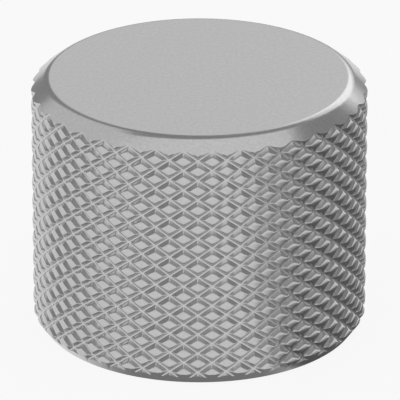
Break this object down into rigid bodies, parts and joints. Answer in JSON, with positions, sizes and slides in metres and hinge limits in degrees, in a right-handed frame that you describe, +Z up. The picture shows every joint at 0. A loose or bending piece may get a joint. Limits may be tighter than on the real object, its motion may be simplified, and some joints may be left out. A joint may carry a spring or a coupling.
{
  "type": "knurled knob",
  "caption": "Round turned knob with a diamond knurled grip, bevelled edges, a flat top and a tapped blind hole in its flat base.",
  "frame": {"origin": "centre of the flat base", "axes": "+Z up along the axis of the knob from the base to the flat top; -Y towards the front line of the knurl"},
  "size_m": [0.02, 0.02, 0.0156],
  "materials": {
    "knob_metal": "satin"
  },
  "bodies": {
    "root": {"knob": "knob_metal"}
  },
  "joints": []
}
